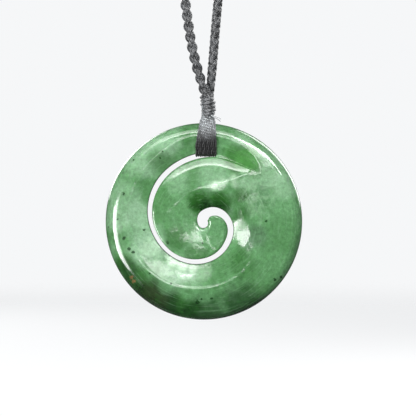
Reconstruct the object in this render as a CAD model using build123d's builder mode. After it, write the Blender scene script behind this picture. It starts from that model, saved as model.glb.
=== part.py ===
from build123d import *
import math
import os

# A koru pendant: a jade disc with a carved spiral, hung on a plaited neck cord.
# Millimetres. Z is up and the carved front faces -Y. The origin is the underside of the closure at the
# top of the neck loop, where the necklace hangs.

# Jade disc
disc_diameter = 45.0
disc_thickness = 6.8
slot_width = 1.15
hole_diameter = 2.3
scoop_depth = 1.5
leaf_tilt = 9.0

# Woven sling round the rim, and the binding above it
clearance = 0.12
sling_thickness = 0.7
sling_foot_width = 4.6
sling_foot_side = 0.35
sling_top_width = 3.6
sling_rise = 0.85
sling_corner = 0.45
whipping_side = 0.83
whipping_width = 3.3
whipping_depth = 4.6
whipping_wall = 0.45
whipping_turns = 6
whipping_pitch = 0.92
whipping_groove = 0.16

# Neck cord and closure
cord_diameter = 2.45
closure_length = 9.0
closure_diameter = 5.0
closure_round = 1.4
socket_depth = 2.0

# Shape of the disc's section, as shares of its thickness: where the front stands from the middle, how far
# each dome falls from its centre to the rim, and the rounding of the rim.
FRONT_HEIGHT = 0.53
FRONT_SAG, BACK_SAG = 0.27, 0.15
FRONT_ROUND, BACK_ROUND = 0.44, 0.20

# The neck cord's route on each side: sideways, forward from the middle, and up from the binding's top.
LEFT_ROUTE = [
    (0.17, 1.20, 0.55),
    (-1.95, 1.05, 7.10),
    (-3.45, 0.75, 14.60),
    (-5.15, 0.35, 28.30),
    (-8.15, 0.10, 55.00),
    (-13.34, 0.00, 104.00),
    (-18.32, 0.00, 153.00),
    (-22.87, 0.00, 199.00),
    (-27.49, 0.00, 247.00),
    (-29.81, 0.00, 271.50),
    (-31.04, 0.00, 284.80),
    (-29.78, 0.00, 291.58),
    (-26.72, 0.00, 297.77),
    (-22.07, 0.00, 302.87),
    (-16.21, 0.00, 306.51),
    (-9.57, 0.00, 308.40),
    (-2.67, 0.00, 308.40),
]
RIGHT_ROUTE = [
    (1.36, -1.20, 0.30),
    (2.00, -1.05, 7.10),
    (2.58, -0.75, 14.60),
    (3.85, -0.35, 28.30),
    (6.54, -0.10, 55.00),
    (11.64, 0.00, 104.00),
    (16.84, 0.00, 153.00),
    (21.74, 0.00, 199.00),
    (26.88, 0.00, 247.00),
    (29.52, 0.00, 271.50),
    (30.96, 0.00, 284.80),
    (29.74, 0.00, 291.58),
    (26.70, 0.00, 297.77),
    (22.05, 0.00, 302.87),
    (16.20, 0.00, 306.51),
    (9.57, 0.00, 308.40),
    (2.67, 0.00, 308.40),
]
CORNER_SHARE = 0.45

disc_radius = disc_diameter / 2
sling_top = disc_radius + sling_rise
whipping_foot = sling_top + clearance
whipping_top = whipping_foot + whipping_turns * whipping_pitch
closure_up = whipping_top + RIGHT_ROUTE[-1][2]
drop = closure_up - closure_diameter / 2
disc_centre = Vector(0, 0, -drop)
disc_plane = Plane(origin=disc_centre, x_dir=(1, 0, 0), z_dir=(0, -1, 0))
spin_plane = Plane(origin=disc_centre, x_dir=(1, 0, 0), z_dir=(0, 0, -1))

# The spiral winds round the middle of the hole. Turns are degrees from +X towards +Z, and places and radii
# are shares of the disc's radius. The slot's far end is just clear of the sling.
HOLE_SIDE, HOLE_UP = -0.0095, -0.0163
SLOT_END_RADIUS = 0.711
hole_side, hole_up = HOLE_SIDE * disc_radius, HOLE_UP * disc_radius
slot_end_side = sling_foot_side + sling_foot_width / 2 + 2 * clearance
slot_end_turn = math.degrees(math.acos((slot_end_side - hole_side) / (SLOT_END_RADIUS * disc_radius)))

# The slot: turn, radius of its middle line, width as a share of slot_width.
SLOT = [
    (slot_end_turn, SLOT_END_RADIUS, 1.05),
    (94, 0.683, 1.05),
    (110, 0.655, 1.05),
    (140, 0.606, 1.10),
    (170, 0.548, 0.97),
    (200, 0.485, 0.92),
    (230, 0.440, 0.92),
    (260, 0.399, 1.05),
    (290, 0.360, 1.05),
    (320, 0.319, 1.15),
    (350, 0.284, 1.22),
    (380, 0.224, 1.60),
]
# Past the last row the slot opens into the hole: turn and radius of its outer and of its inner wall.
HOOK_OUTER = [(410, 0.212), (440, 0.152), (470, 0.115), (500, 0.080), (530, 0.062)]
HOOK_INNER = [(391, 0.146), (399, 0.110), (401, 0.083), (386, 0.048)]

# The scoop beside the slot: turn, radius of its inner side, radius of its crest, depth below the dome as a
# share of scoop_depth, and how far its inner side leans in. A negative depth runs out above the dome.
SCOOP = [
    (36, 0.790, 0.800, -0.15, 0.000),
    (48, 0.722, 0.835, 0.30, 0.012),
    (62, 0.700, 0.873, 0.72, 0.022),
    (79, 0.700, 0.883, 0.95, 0.024),
    (98, 0.675, 0.875, 1.00, 0.030),
    (122, 0.635, 0.822, 1.00, 0.030),
    (150, 0.588, 0.785, 1.00, 0.030),
    (180, 0.527, 0.756, 1.00, 0.030),
    (210, 0.469, 0.745, 1.00, 0.028),
    (240, 0.426, 0.702, 1.05, 0.026),
    (270, 0.386, 0.656, 1.05, 0.026),
    (300, 0.346, 0.630, 1.05, 0.026),
    (330, 0.307, 0.606, 1.05, 0.024),
    (357, 0.272, 0.560, 1.08, 0.020),
    (380, 0.224, 0.470, 1.10, 0.012),
    (402, 0.175, 0.410, 1.10, 0.004),
    (428, 0.110, 0.352, 1.05, 0.000),
    (455, 0.070, 0.320, 0.95, 0.000),
    (485, 0.050, 0.268, 0.75, 0.000),
    (515, 0.036, 0.238, 0.50, 0.000),
    (550, 0.030, 0.222, 0.20, 0.000),
    (585, 0.030, 0.215, -0.15, 0.000),
]
SCOOP_BOW = 1.5
SCOOP_STEPS = (0.0, 0.55, 1.2)

# The leaf's bevel meets the dome along a ridge through these points, in shares of the disc's radius, and
# reaches round the slot as far as the last turn.
RIDGE_TAIL = (0.540, 0.478)
RIDGE_HEAD = (-0.062, 0.320)
LEAF_KNEE = (0.010, -0.010)
LEAF_LAST_TURN = 200


def round_face(height, sag, rounding):
    """A domed face with a rounded rim: dome radius, join radius, join height and rim centre height."""
    dome = (disc_radius**2 + sag**2) / (2 * sag)
    join = (disc_radius - rounding) / (1 - rounding / dome)
    join_height = height - dome + math.sqrt(dome**2 - join**2)
    return dome, join, join_height, join_height - rounding * math.sqrt(1 - (join / dome) ** 2)


front_height = FRONT_HEIGHT * disc_thickness
back_height = disc_thickness - front_height
front_round = FRONT_ROUND * disc_thickness
back_round = BACK_ROUND * disc_thickness
front_dome, front_join, front_join_height, front_land = round_face(
    front_height, FRONT_SAG * disc_thickness, front_round
)
back_dome, back_join, back_join_height, back_land = round_face(
    back_height, BACK_SAG * disc_thickness, back_round
)
over_everything = front_height + scoop_depth
bore_width = whipping_width - 2 * whipping_wall
bore_depth = whipping_depth - 2 * whipping_wall
sling_sides = [
    sling_foot_side - sling_foot_width / 2 - clearance,
    sling_foot_side,
    sling_foot_side + sling_foot_width / 2 + clearance,
]

# Where the sling's inner section touches the rounded rim, in degrees from straight forward or straight back
FRONT_LEANS = (20, 36, 52, 68, 90)
BACK_LEANS = (90, 60, 30, 8)
CROSSING_STEPS = 8
FOOT_LIFT = 0.7
FOOT_STRAIGHT = 0.8

# One turn of the binding: how far up the turn, and the share of the groove's depth there
TURN_STEPS = ((0.0, 1.0), (0.25, 0.0), (0.75, 0.0))


def level_plane(height):
    """The level plane at this height above the disc's centre, under the middle of the binding."""
    return Plane(origin=disc_centre + Vector(whipping_side, 0, height), x_dir=(1, 0, 0), z_dir=(0, 0, 1))


def grown_outline(corners, distance):
    """The closed outline moved outwards: each corner goes along the sum of its two edges' normals."""
    grown = []
    for index, corner in enumerate(corners):
        before = Vector(*corner) - Vector(*corners[index - 1])
        after = Vector(*corners[(index + 1) % len(corners)]) - Vector(*corner)
        first = Vector(before.Y, -before.X).normalized()
        second = Vector(after.Y, -after.X).normalized()
        grown.append(Vector(*corner) + (first + second) * (distance / (1 + first.dot(second))))
    return grown


def front_surface(radius):
    """How far the uncarved front stands from the middle plane at this distance from the disc's centre."""
    if radius < front_join:
        return front_height - front_dome + math.sqrt(front_dome**2 - radius**2)
    return front_land + math.sqrt(front_round**2 - (radius - disc_radius + front_round) ** 2)


def back_surface(radius):
    """The same for the back, as far as its own rounding."""
    return back_height - back_dome + math.sqrt(back_dome**2 - radius**2)


def spiral_point(turn, radius):
    """A point in the disc's plane, from its turn and its radius in millimetres about the hole."""
    angle = math.radians(turn)
    return hole_side + radius * math.cos(angle), hole_up + radius * math.sin(angle)


def row_at(table, turn):
    """The table's row at any turn, from the two rows beside it."""
    above = next(index for index, row in enumerate(table) if row[0] >= turn)
    low, high = table[max(above - 1, 0)], table[above]
    share = (turn - low[0]) / (high[0] - low[0]) if high[0] > low[0] else 0
    return [a + share * (b - a) for a, b in zip(low, high)]


def slot_wall(row, side):
    """A wall of the slot at a row of its table: side is +1 for the outer wall and -1 for the inner."""
    turn, middle, width = row
    return spiral_point(turn, middle * disc_radius + side * width * slot_width / 2)


def radial_plane(turn):
    """The plane through the hole's axis at this turn: outwards, then to the front."""
    angle = math.radians(turn)
    outward = Vector(math.cos(angle), 0, math.sin(angle))
    return Plane(
        origin=disc_plane.from_local_coords((hole_side, hole_up, 0)),
        x_dir=outward,
        z_dir=outward.cross(Vector(0, -1, 0)),
    )


def scoop_height(row, radius):
    """Height of the scoop's floor at a radius in millimetres: low at its inner side, rising to its crest."""
    turn, inner, crest, depth = row[:4]
    low = front_surface(math.hypot(*spiral_point(turn, inner * disc_radius))) - depth * scoop_depth
    high = front_surface(math.hypot(*spiral_point(turn, crest * disc_radius)))
    high += max(0, -depth * scoop_depth)
    share = (radius / disc_radius - inner) / (crest - inner)
    return low + (high - low) * max(share, 0) ** SCOOP_BOW


def scoop_corners(row):
    """The scoop's section: three points along its floor, then up and back over the disc."""
    turn, inner, crest, depth, lean = row
    radii = [(inner + step * (crest - inner)) * disc_radius for step in SCOOP_STEPS]
    floor = [(radius, scoop_height(row, radius)) for radius in radii]
    roof = [(radii[-1], over_everything), ((inner - lean) * disc_radius, over_everything)]
    return floor, roof


# The bevel on the leaf, as the stock that it takes away
tail = Vector(*[share * disc_radius for share in RIDGE_TAIL], 0)
head = Vector(*[share * disc_radius for share in RIDGE_HEAD], 0)
tail.Z, head.Z = front_surface(tail.length), front_surface(head.length)
ridge = (head - tail).normalized()
downhill = Vector(ridge.Y, -ridge.X, 0).normalized()
downhill.Z = -math.tan(math.radians(leaf_tilt))
bevel_normal = downhill.cross(ridge).normalized()
bevel_plane = Plane(
    origin=disc_plane.from_local_coords(tail),
    z_dir=disc_plane.from_local_coords(bevel_normal) - disc_centre,
)
leaf_edge = [spiral_point(row[0], row[1] * disc_radius) for row in SCOOP if row[0] < slot_end_turn]
leaf_edge += [spiral_point(row[0], row[1] * disc_radius) for row in SLOT if row[0] <= LEAF_LAST_TURN]

with BuildPart() as bevel:
    with BuildSketch(disc_plane):
        with BuildLine():
            edge = Spline(*leaf_edge)
            Polyline(edge @ 1, [share * disc_radius for share in LEAF_KNEE], edge @ 0)
        make_face()
    extrude(amount=over_everything)
    split(bisect_by=bevel_plane, keep=Keep.TOP)

# The scoop, as the stock that it takes away
with BuildPart() as scoop:
    for row in SCOOP:
        floor, roof = scoop_corners(row)
        with BuildSketch(radial_plane(row[0])):
            with BuildLine():
                ThreePointArc(*floor)
                Polyline(floor[-1], *roof, floor[0])
            make_face()
    loft()

with BuildPart() as koru_disc:
    front_lean = (math.asin(front_join / front_dome) + math.pi / 2) / 2
    back_lean = (math.asin(back_join / back_dome) + math.pi / 2) / 2
    front_mid = (
        disc_radius - front_round * (1 - math.sin(front_lean)),
        front_land + front_round * math.cos(front_lean),
    )
    back_mid = (
        disc_radius - back_round * (1 - math.sin(back_lean)),
        -back_land - back_round * math.cos(back_lean),
    )
    with BuildSketch(spin_plane):
        with BuildLine():
            ThreePointArc(
                (0, front_height),
                (front_join / 2, front_surface(front_join / 2)),
                (front_join, front_join_height),
            )
            ThreePointArc((front_join, front_join_height), front_mid, (disc_radius, front_land))
            Line((disc_radius, front_land), (disc_radius, -back_land))
            ThreePointArc((disc_radius, -back_land), back_mid, (back_join, -back_join_height))
            ThreePointArc(
                (back_join, -back_join_height),
                (back_join / 2, -back_surface(back_join / 2)),
                (0, -back_height),
            )
            Line((0, -back_height), (0, front_height))
        make_face()
    revolve(axis=Axis(disc_centre, (0, -1, 0)))
    add(scoop.part, mode=Mode.SUBTRACT)
    add(bevel.part, mode=Mode.SUBTRACT)
    with BuildSketch(disc_plane):
        with BuildLine():
            outer = Spline(
                *[slot_wall(row, 1) for row in SLOT],
                *[spiral_point(turn, radius * disc_radius) for turn, radius in HOOK_OUTER],
            )
            inner = Spline(
                *[slot_wall(row, -1) for row in SLOT],
                *[spiral_point(turn, radius * disc_radius) for turn, radius in HOOK_INNER],
            )
            Line(outer @ 0, inner @ 0)
            Polyline(outer @ 1, (hole_side, hole_up), inner @ 1)
        make_face()
        with Locations((hole_side, hole_up)):
            Circle(hole_diameter / 2)
    extrude(amount=disc_thickness, both=True, mode=Mode.SUBTRACT)


def wall_crossing(side):
    """Turn and radius at which the slot's outer wall stands this far sideways from the disc's centre."""
    turn, radius = 90, SLOT_END_RADIUS * disc_radius
    for _ in range(CROSSING_STEPS):
        turn = math.degrees(math.acos((side - hole_side) / radius))
        middle, width = row_at(SLOT, max(turn, slot_end_turn))[1:]
        radius = middle * disc_radius + width * slot_width / 2
    return turn, radius


def ring_section(side):
    """The ring's section at this sideways distance, from the slot round the front, rim and back."""
    turn, radius = wall_crossing(side)
    row = row_at(SCOOP, turn)
    wall_up = spiral_point(turn, radius)[1]
    crest_up = spiral_point(turn, row[2] * disc_radius)[1]
    corners = [(scoop_height(row, radius), wall_up), (front_surface(math.hypot(side, crest_up)), crest_up)]
    for lean in FRONT_LEANS:
        rim = disc_radius - front_round * (1 - math.sin(math.radians(lean)))
        corners.append((front_land + front_round * math.cos(math.radians(lean)), rim))
    for lean in BACK_LEANS:
        rim = disc_radius - back_round * (1 - math.sin(math.radians(lean)))
        corners.append((-back_land - back_round * math.cos(math.radians(lean)), rim))
    corners = corners[:2] + [(front, math.sqrt(rim**2 - side**2)) for front, rim in corners[2:]]
    return corners + [(-back_surface(wall_up), wall_up)]


def side_plane(side):
    """The upright plane at this sideways distance: to the front, then up."""
    return Plane(origin=disc_centre + Vector(side, 0, 0), x_dir=(0, -1, 0), z_dir=(-1, 0, 0))


def band_corners(side):
    """The sling's outer section: it follows the ring's crests and closes above the rim."""
    corners = ring_section(side)
    reach = clearance + sling_thickness
    wall_front, wall_up = corners[0]
    crest_front, crest_up = corners[1]
    back_front, back_up = corners[-2]
    neck = whipping_depth / 2 - whipping_wall
    return [
        (wall_front + reach * FOOT_LIFT, wall_up - reach),
        (crest_front + reach, crest_up),
        (neck, sling_top),
        (-neck, sling_top),
        (back_front - reach, back_up - sling_rise),
        (corners[-1][0] - reach, wall_up - reach),
    ]


with BuildPart() as sling:
    for side in sling_sides:
        with BuildSketch(side_plane(side)):
            Polygon(*band_corners(side), align=None)
            fillet(vertices(), radius=sling_corner)
    loft()
    with BuildSketch(disc_plane):
        foot_left = sling_foot_side - sling_foot_width / 2
        top_left = whipping_side - sling_top_width / 2
        Polygon(
            (foot_left, 0),
            (foot_left + sling_foot_width, 0),
            (foot_left + sling_foot_width, front_join * FOOT_STRAIGHT),
            (top_left + sling_top_width, sling_top),
            (top_left, sling_top),
            (foot_left, front_join * FOOT_STRAIGHT),
            align=None,
        )
    extrude(amount=disc_thickness, both=True, mode=Mode.INTERSECT)
    with BuildSketch(level_plane(disc_radius)):
        Ellipse(bore_width / 2 - clearance, bore_depth / 2 - clearance)
    extrude(amount=whipping_top - disc_radius)
    for side in sling_sides:
        with BuildSketch(side_plane(side)):
            Polygon(*grown_outline(ring_section(side), clearance), align=None)
    loft(mode=Mode.SUBTRACT)

with BuildPart() as whipping:
    for turn in range(whipping_turns):
        for step, groove in TURN_STEPS:
            with BuildSketch(level_plane(whipping_foot + (turn + step) * whipping_pitch)):
                Ellipse(
                    whipping_width / 2 - groove * whipping_groove,
                    whipping_depth / 2 - groove * whipping_groove,
                )
    with BuildSketch(level_plane(whipping_top)):
        Ellipse(whipping_width / 2 - whipping_groove, whipping_depth / 2 - whipping_groove)
    loft(ruled=True)
    with BuildSketch(level_plane(whipping_foot)):
        Ellipse(bore_width / 2, bore_depth / 2)
    extrude(amount=whipping_top - whipping_foot, mode=Mode.SUBTRACT)


def route_points(route):
    """The chosen points in the part's frame."""
    return [Vector(side, -forward, whipping_top - drop + up) for side, forward, up in route]


def corner_radii(points):
    """The radius at each inner point: its share of the shorter run, over the tangent of half the turn."""
    radii = []
    for before, corner, after in zip(points, points[1:], points[2:]):
        half_turn = math.radians((corner - before).get_angle(after - corner)) / 2
        shorter = min((corner - before).length, (after - corner).length)
        radii.append(CORNER_SHARE * shorter / math.tan(half_turn))
    return radii


def braid(route, name):
    """One side of the neck cord: a round section carried along its route."""
    points = route_points(route)
    radii = corner_radii(points)
    with BuildPart() as cord:
        with BuildLine():
            line = FilletPolyline(*points, radius=radii)
        with BuildSketch(Plane(origin=points[0], z_dir=points[1] - points[0])):
            Circle(cord_diameter / 2)
        sweep(path=line)
    length = line.length
    tube = math.pi * cord_diameter**2 / 4 * length
    print(name, "radii", [round(radius, 1) for radius in radii])
    print(name, "length", round(length, 1), "volume over tube", round(cord.part.volume / tube, 5))
    return cord


neck_braid_left = braid(LEFT_ROUTE, "neck_braid_left")
neck_braid_right = braid(RIGHT_ROUTE, "neck_braid_right")

with BuildPart() as back_knot:
    knot_left = Plane(origin=(-closure_length / 2, 0, closure_diameter / 2), z_dir=(1, 0, 0))
    knot_right = Plane(origin=(closure_length / 2, 0, closure_diameter / 2), z_dir=(-1, 0, 0))
    with BuildSketch(knot_left):
        Circle(closure_diameter / 2)
    extrude(amount=closure_length)
    fillet(edges(), radius=closure_round)
    for end in (knot_left, knot_right):
        with BuildSketch(end):
            Circle(cord_diameter / 2 + clearance)
        extrude(amount=socket_depth, mode=Mode.SUBTRACT)

koru_disc.part.label = "koru_disc"
sling.part.label = "sling"
whipping.part.label = "whipping"
neck_braid_left.part.label = "neck_braid_left"
neck_braid_right.part.label = "neck_braid_right"
back_knot.part.label = "back_knot"

os.makedirs("parts", exist_ok=True)
for piece in (koru_disc, sling, whipping, neck_braid_left, neck_braid_right, back_knot):
    export_step(piece.part, f"parts/{piece.part.label}.step")
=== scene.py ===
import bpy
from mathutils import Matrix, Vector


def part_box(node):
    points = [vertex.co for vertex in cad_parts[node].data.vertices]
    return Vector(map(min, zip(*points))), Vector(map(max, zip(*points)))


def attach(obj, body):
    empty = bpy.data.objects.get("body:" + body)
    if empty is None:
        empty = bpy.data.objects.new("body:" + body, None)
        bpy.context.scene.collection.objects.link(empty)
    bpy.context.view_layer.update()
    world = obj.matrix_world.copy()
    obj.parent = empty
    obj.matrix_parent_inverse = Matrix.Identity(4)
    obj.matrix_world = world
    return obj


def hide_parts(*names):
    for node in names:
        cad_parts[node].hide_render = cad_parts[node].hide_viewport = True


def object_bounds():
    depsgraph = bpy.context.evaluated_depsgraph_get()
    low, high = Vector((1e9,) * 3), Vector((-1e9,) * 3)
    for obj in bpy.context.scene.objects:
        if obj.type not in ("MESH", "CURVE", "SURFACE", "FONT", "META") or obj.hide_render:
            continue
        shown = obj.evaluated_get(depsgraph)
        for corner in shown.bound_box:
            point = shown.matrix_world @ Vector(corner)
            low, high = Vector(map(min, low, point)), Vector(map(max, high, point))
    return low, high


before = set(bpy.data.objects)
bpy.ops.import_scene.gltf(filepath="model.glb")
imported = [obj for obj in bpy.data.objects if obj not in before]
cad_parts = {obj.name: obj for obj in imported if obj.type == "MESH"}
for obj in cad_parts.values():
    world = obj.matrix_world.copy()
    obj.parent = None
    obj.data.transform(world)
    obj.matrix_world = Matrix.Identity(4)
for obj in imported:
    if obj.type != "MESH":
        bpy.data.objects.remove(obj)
cad_box = [list(corner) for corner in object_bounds()]

import math

import bmesh
import bpy
import numpy as np
from mathutils import Vector

print("nodes:", sorted(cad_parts))
# %% [markdown]
# ## Units and places
# The script thinks in millimetres and turns them into metres when a mesh is made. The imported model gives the
# stone's middle and radius. A place on the stone is sideways, up from its middle, and forward from its middle
# plane, which is the world's -Y.
# %% Where the stone is
MM = 0.001
stone_low, stone_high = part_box("koru_disc")
stone_radius = (stone_high.x - stone_low.x) / 2 / MM
stone_middle = (stone_high.z + stone_low.z) / 2 / MM
binding_low, binding_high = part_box("whipping")
binding_foot, binding_top = (corner.z / MM - stone_middle for corner in (binding_low, binding_high))


def together(*parts):
    """Numbers and arrays side by side, as the last axis of one array."""
    return np.stack(np.broadcast_arrays(*parts), axis=-1)


def on_stone(side, up, forward):
    """World places in millimetres of points given on the stone."""
    return together(side, -forward, up + stone_middle)


def add_object(name, data):
    """A new object in the scene."""
    made = bpy.data.objects.new(name, data)
    bpy.context.scene.collection.objects.link(made)
    return made


print("stone radius", round(stone_radius, 2), "middle at", round(stone_middle, 2))
# %% [markdown]
# ## Camera
# The camera comes first, because every later choice is judged through it. It stands straight in front, its
# long lens keeps the disc round, and it takes in the photograph's width at the stone.
# %% Set the camera
# In millimetres: the view's width and its middle on the stone, then the lens and its sensor
FRAME_WIDTH, FRAME_SIDE, FRAME_UP = 95.1, 0.93, 3.06
LENS, SENSOR = 180.0, 36.0

lens = bpy.data.cameras.new("camera")
lens.lens, lens.sensor_width = LENS, SENSOR
lens.clip_start, lens.clip_end = 0.01, 50
camera = add_object("camera", lens)
camera_distance = FRAME_WIDTH * LENS / SENSOR
camera.location = Vector((FRAME_SIDE, -camera_distance, stone_middle + FRAME_UP)) * MM
camera.rotation_euler = (math.radians(90), 0, 0)
bpy.context.scene.camera = camera
bpy.context.scene.view_settings.view_transform = "Standard"
print("camera stands", round(camera_distance), "mm in front")
# %% [markdown]
# ## Meshes from arrays
# Each piece is worked out as whole arrays of points. One helper makes its mesh, welds points that fall
# together and turns the faces outwards. A thread's pattern follows the thread, so a piece may carry a UV map
# with the length along it and the way round it.
# %% Helpers for meshes
# Points nearer than this become one, in millimetres
WELD = 0.0005


def make_piece(name, points, faces, material, uv=None, stands_for=()):
    """A smooth piece from points in millimetres and arrays of faces, with a uv pair at each corner."""
    mesh = bpy.data.meshes.new(name)
    mesh.from_pydata((points * MM).tolist(), [], [face for part in faces for face in part.tolist()])
    if uv is not None:
        layer = mesh.uv_layers.new(name="along")
        layer.data.foreach_set("uv", uv.astype(np.float32).ravel())
    work = bmesh.new()
    work.from_mesh(mesh)
    bmesh.ops.remove_doubles(work, verts=work.verts, dist=WELD * MM)
    bmesh.ops.recalc_face_normals(work, faces=work.faces)
    work.to_mesh(mesh)
    work.free()
    mesh.shade_smooth()
    mesh.materials.append(material)
    piece = add_object(name, mesh)
    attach(piece, "root")
    if stands_for:
        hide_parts(*stands_for)
    triangles = sum(len(face.vertices) - 2 for face in mesh.polygons)
    print(name, "has", triangles, "triangles")
    return piece


def grid_faces(columns, rows):
    """Four-sided faces of a grid whose rows close on themselves, as numbers of its points."""
    column, row = np.meshgrid(np.arange(columns - 1), np.arange(rows), indexing="ij")
    here, ahead, after = column * rows, (column + 1) * rows, (row + 1) % rows
    return together(here + row, ahead + row, ahead + after, here + after).reshape(-1, 4)


def follow(table, at):
    """A table's further columns at places in its first: cubic pieces with the mean slope at each row."""
    rows, values = np.split(np.asarray(table, float), [1], axis=1)
    rows = rows[:, 0]
    slopes = np.gradient(values, rows, axis=0)
    at = np.clip(at, rows[0], rows[-1])
    low = np.clip(np.searchsorted(rows, at, side="right") - 1, 0, len(rows) - 2)
    step = (rows[low + 1] - rows[low])[..., None]
    part = (at - rows[low])[..., None] / step
    rise = part * part * (3 - 2 * part)
    lean = part * (1 - part) ** 2 * step * slopes[low] + part * part * (part - 1) * step * slopes[low + 1]
    return np.moveaxis(values[low] * (1 - rise) + values[low + 1] * rise + lean, -1, 0)


# %% [markdown]
# ## Shader maths as Python
# Node trees are hard to read as lists of links. One small class wraps a node's output, so that sums and
# products are written as Python, and one method makes every other node.
# %% A wrapped socket
# Sockets of a Mix node of colours
MIX_FACTOR, MIX_A, MIX_B, MIX_RESULT = 0, 6, 7, 2


class Wire:
    """An output of a node. Operators on it add Math nodes."""

    def __init__(self, tree, output=None):
        self.tree = tree
        self.output = output

    def node(self, kind, inputs=None, give=0, **settings):
        """A new node, with its settings, then the values or links of its sockets."""
        made = self.tree.nodes.new("ShaderNode" + kind)
        for name, value in settings.items():
            setattr(made, name, value)
        for name, value in (inputs or {}).items():
            if isinstance(value, Wire):
                self.tree.links.new(value.output, made.inputs[name])
            else:
                made.inputs[name].default_value = value
        return Wire(self.tree, made.outputs[give])

    def beside(self, give):
        """Another output of the same node."""
        return Wire(self.tree, self.output.node.outputs[give])

    def maths(self, operation, first, second=0.0):
        return self.node("Math", {0: first, 1: second}, operation=operation)

    def vector(self, operation, inputs, give=0):
        """Vector maths. Output 0 is a vector, and output 1 the number that a length or distance gives."""
        return self.node("VectorMath", inputs, give, operation=operation)

    def __add__(self, other):
        return self.maths("ADD", self, other)

    def __sub__(self, other):
        return self.maths("SUBTRACT", self, other)

    def __rsub__(self, other):
        return self.maths("SUBTRACT", other, self)

    def __mul__(self, other):
        return self.maths("MULTIPLY", self, other)

    __radd__, __rmul__ = __add__, __mul__

    def smooth(self, low, high):
        """0 below low and 1 above high, eased between them."""
        inputs = {"Value": self, "From Min": low, "From Max": high}
        return self.node("MapRange", inputs, interpolation_type="SMOOTHERSTEP")

    def noise(self, place, scale, detail=2.0, rough=0.5, warp=0.0):
        """Noise at a place, with this many lumps to one of its units."""
        inputs = {"Vector": place, "Scale": scale, "Detail": detail, "Roughness": rough, "Distortion": warp}
        return self.node("TexNoise", inputs)

    def mix(self, first, second):
        """The first colour where this is 0, the second where it is 1."""
        inputs = {MIX_FACTOR: self, MIX_A: first, MIX_B: second}
        return self.node("Mix", inputs, MIX_RESULT, data_type="RGBA")


def new_material(name, **constants):
    """A material with its constants set on the shader's own sockets, as (material, shader, wire)."""
    material = bpy.data.materials.new(name)
    material.use_nodes = True
    shader = material.node_tree.nodes["Principled BSDF"]
    for socket, value in constants.items():
        shader.inputs[socket.replace("_", " ")].default_value = value
    return material, shader, Wire(material.node_tree)


def plug(shader, socket, wire):
    """Links a wire into a shader's socket."""
    shader.id_data.links.new(wire.output, shader.inputs[socket])


# %% [markdown]
# ## Threads and cords
# Every cord here is round threads side by side, so one helper carries an oval section along any number of
# lines at once. Each line brings the direction that is outwards with it.
# %% Carry a section along lines


def unit(vectors):
    """Vectors made one long."""
    return vectors / np.linalg.norm(vectors, axis=-1, keepdims=True)


def along_line(points):
    """Running length at each point of each line, in millimetres."""
    steps = np.linalg.norm(np.diff(points, axis=-2), axis=-1)
    return np.concatenate([np.zeros(steps.shape[:-1] + (1,)), np.cumsum(steps, axis=-1)], axis=-1)


def strands(lines, outward, half_out, half_side, sides):
    """Oval tubes: the line, plus cosine times the outward half width, plus sine times the side one."""
    lines, outward = np.broadcast_arrays(np.reshape(lines, (-1, *np.shape(lines)[-2:])), outward)
    ahead = unit(np.gradient(lines, axis=-2))
    across = unit(np.cross(ahead, outward))
    carried = (lines, across, np.cross(across, ahead), along_line(lines))
    centre, across, out, length = (
        np.concatenate([part[:, :1], part, part[:, -1:]], axis=1) for part in carried
    )
    halves = (np.broadcast_to(half, lines.shape[:-1]) for half in (half_out, half_side))
    half_out, half_side = (np.pad(half, ((0, 0), (1, 1)))[..., None] for half in halves)
    turn = np.linspace(0, math.tau, sides, endpoint=False)
    points = (
        centre[:, :, None]
        + out[:, :, None] * (half_out * np.cos(turn))[..., None]
        + across[:, :, None] * (half_side * np.sin(turn))[..., None]
    )
    count, rows = length.shape
    faces = (grid_faces(rows, sides) + (np.arange(count) * rows * sides)[:, None, None]).reshape(-1, 4)
    around = (faces % sides) / sides
    around[:, 2:] = np.where(around[:, 2:] == 0, 1.0, around[:, 2:])
    return points.reshape(-1, 3), faces, together(length.ravel()[faces // sides], around)


def make_threads(name, material, slot, stands_for, *sets):
    """One piece from several sets of strands."""
    points, faces, uv = zip(*sets)
    starts = np.cumsum([0] + [len(part) for part in points])
    faces = [part + start for part, start in zip(faces, starts)]
    make_piece(name, np.concatenate(points), faces, material, np.concatenate(uv), stands_for)


# %% [markdown]
# ## Waxed thread
# Waxed thread is near black, with a grey sheen where light slides along its fibres. That sheen is painted into
# the colour, paler on the fibres' crests and in patches. The fibres run round each strand at a slant, so their
# pattern is read from the strand's own UV map: millimetres along, and once round.
# %% Thread material
# Lumps of noise to the metre, how far noise leads a fibre astray, and how far it moves the start of the paler
# top, rubbed and painted highlight, in millimetres
STRAY_SCALE, PATCHY_SCALE = 1400.0, 700.0
STRAY, RUB_AND_HIGHLIGHT_DRIFT = 5.0, 2.0


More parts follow.
